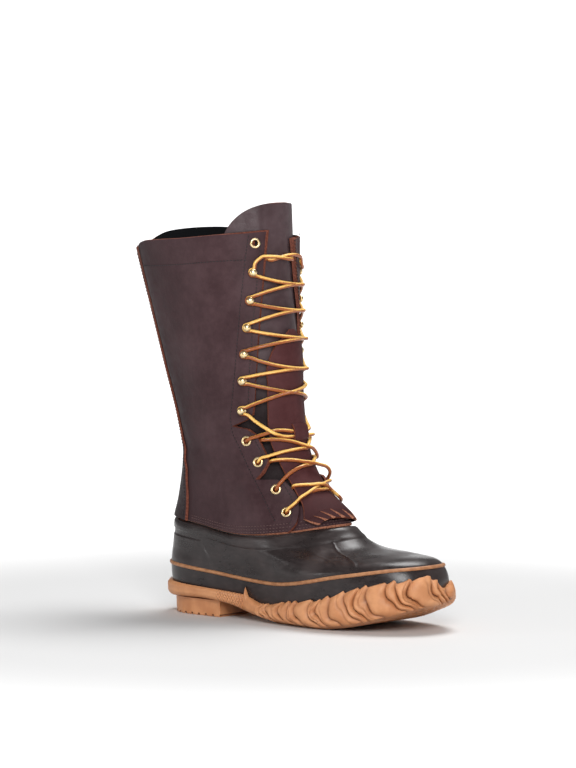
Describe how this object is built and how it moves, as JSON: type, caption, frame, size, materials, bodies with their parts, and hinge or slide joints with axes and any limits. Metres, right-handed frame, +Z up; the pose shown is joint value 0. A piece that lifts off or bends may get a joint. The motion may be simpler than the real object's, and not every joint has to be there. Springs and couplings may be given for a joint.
{
  "type": "pac boot",
  "caption": "Tall right-foot pac boot: laced leather shaft with tongue and fringed kiltie, stitched to a moulded rubber bottom on a chain-tread sole with a separate heel.",
  "frame": {"origin": "middle of the boot's box in plan, on the floor that heel and forefoot stand on", "axes": "+X to the toe, +Y to the inner side of the foot (the wearer's left), +Z up the shaft"},
  "size_m": [0.3514, 0.123, 0.3855],
  "materials": {
    "leather": "smooth oiled, dark red-brown",
    "kiltie": "smooth oiled, redder brown",
    "rubber": "semi-gloss, brown-black",
    "gum": "matt, tan gum",
    "brass": "polished, pale",
    "cord": "waxed, golden",
    "felt": "felted, dark"
  },
  "bodies": {
    "root": {"outsole": "gum", "heel": "gum", "insole": "felt", "rubber_bottom": "rubber", "upper": "leather", "backstay": "leather", "vamp_strip": "leather", "tongue": "leather", "kiltie": "kiltie", "eyelet_lateral_1": "brass", "eyelet_lateral_2": "brass", "eyelet_lateral_3": "brass", "eyelet_lateral_4": "brass", "eyelet_lateral_5": "brass", "eyelet_medial_1": "brass", "eyelet_medial_2": "brass", "eyelet_medial_3": "brass", "eyelet_medial_4": "brass", "eyelet_medial_5": "brass", "hook_lateral_1": "brass", "hook_lateral_2": "brass", "hook_lateral_3": "brass", "hook_lateral_4": "brass", "hook_lateral_5": "brass", "hook_lateral_6": "brass", "hook_medial_1": "brass", "hook_medial_2": "brass", "hook_medial_3": "brass", "hook_medial_4": "brass", "hook_medial_5": "brass", "hook_medial_6": "brass", "lace_1": "cord", "lace_2": "cord", "lace_3": "cord", "lace_4": "cord", "lace_5": "cord", "lace_6": "cord", "lace_7": "cord", "lace_8": "cord", "lace_9": "cord", "lace_knot": "cord"}
  },
  "joints": []
}
